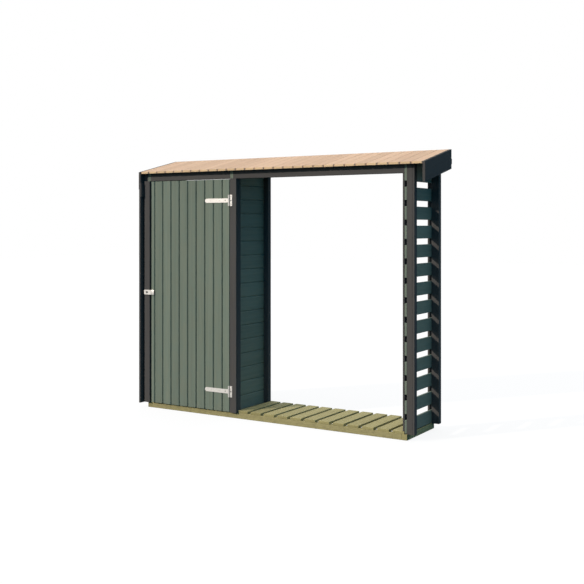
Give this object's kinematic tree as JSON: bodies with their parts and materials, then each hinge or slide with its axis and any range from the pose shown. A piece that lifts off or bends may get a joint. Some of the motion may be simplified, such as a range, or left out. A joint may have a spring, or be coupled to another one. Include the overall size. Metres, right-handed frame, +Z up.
{
  "type": "log store",
  "caption": "Timber log store with an open slatted bay, a boarded cupboard with a side-hung door, and a pent roof that slopes to the front.",
  "frame": {"origin": "on the ground, under the middle of the whole store's box", "axes": "+X along the front towards the slatted end, +Y from the front to the back, +Z up"},
  "size_m": [2.624, 0.539, 2.1088],
  "materials": {
    "natural_timber": "pressure-treated softwood, sawn and unpainted",
    "roof_timber": "planed unpainted softwood boards",
    "green_paint": "sage green painted softwood, matt",
    "grey_paint": "dark grey painted softwood, matt",
    "galvanised_steel": "dull zinc-coated steel"
  },
  "bodies": {
    "store": {"front_bearer": "natural_timber", "back_bearer": "natural_timber", "left_bearer": "natural_timber", "partition_bearer": "natural_timber", "right_bearer": "natural_timber", "cupboard_floor": "natural_timber", "log_bay_floor": "natural_timber", "left_wall_cladding": "green_paint", "partition_cladding": "green_paint", "cupboard_back_cladding": "green_paint", "left_wall_battens": "green_paint", "partition_battens": "green_paint", "slatted_wall_battens": "grey_paint", "slatted_wall": "green_paint", "left_front_post": "grey_paint", "left_back_post": "grey_paint", "centre_front_post": "grey_paint", "centre_back_post": "grey_paint", "right_front_post": "grey_paint", "right_back_post": "grey_paint", "left_back_edge_board": "grey_paint", "right_front_edge_board": "grey_paint", "right_back_edge_board": "grey_paint", "left_weather_board": "grey_paint", "weather_board_cleat": "grey_paint", "left_cover_strip": "grey_paint", "centre_cover_strip": "grey_paint", "cupboard_header": "grey_paint", "log_bay_header": "grey_paint", "back_rail": "grey_paint", "roof_purlin": "grey_paint", "roof_boards": "roof_timber", "left_bargeboard": "grey_paint", "right_bargeboard": "grey_paint", "upper_hinge_plate": "galvanised_steel", "lower_hinge_plate": "galvanised_steel", "latch_staple": "galvanised_steel"},
    "door": {"door_boards": "green_paint", "door_ledges": "green_paint", "upper_hinge_strap": "galvanised_steel", "lower_hinge_strap": "galvanised_steel", "latch_hasp": "galvanised_steel"}
  },
  "joints": [
    {"name": "door_hinge", "type": "hinge", "parent": "store", "child": "door", "pos_m": [-0.391, -0.247, 1], "axis": [0, 0, 1], "range_deg": [0, 170]}
  ]
}
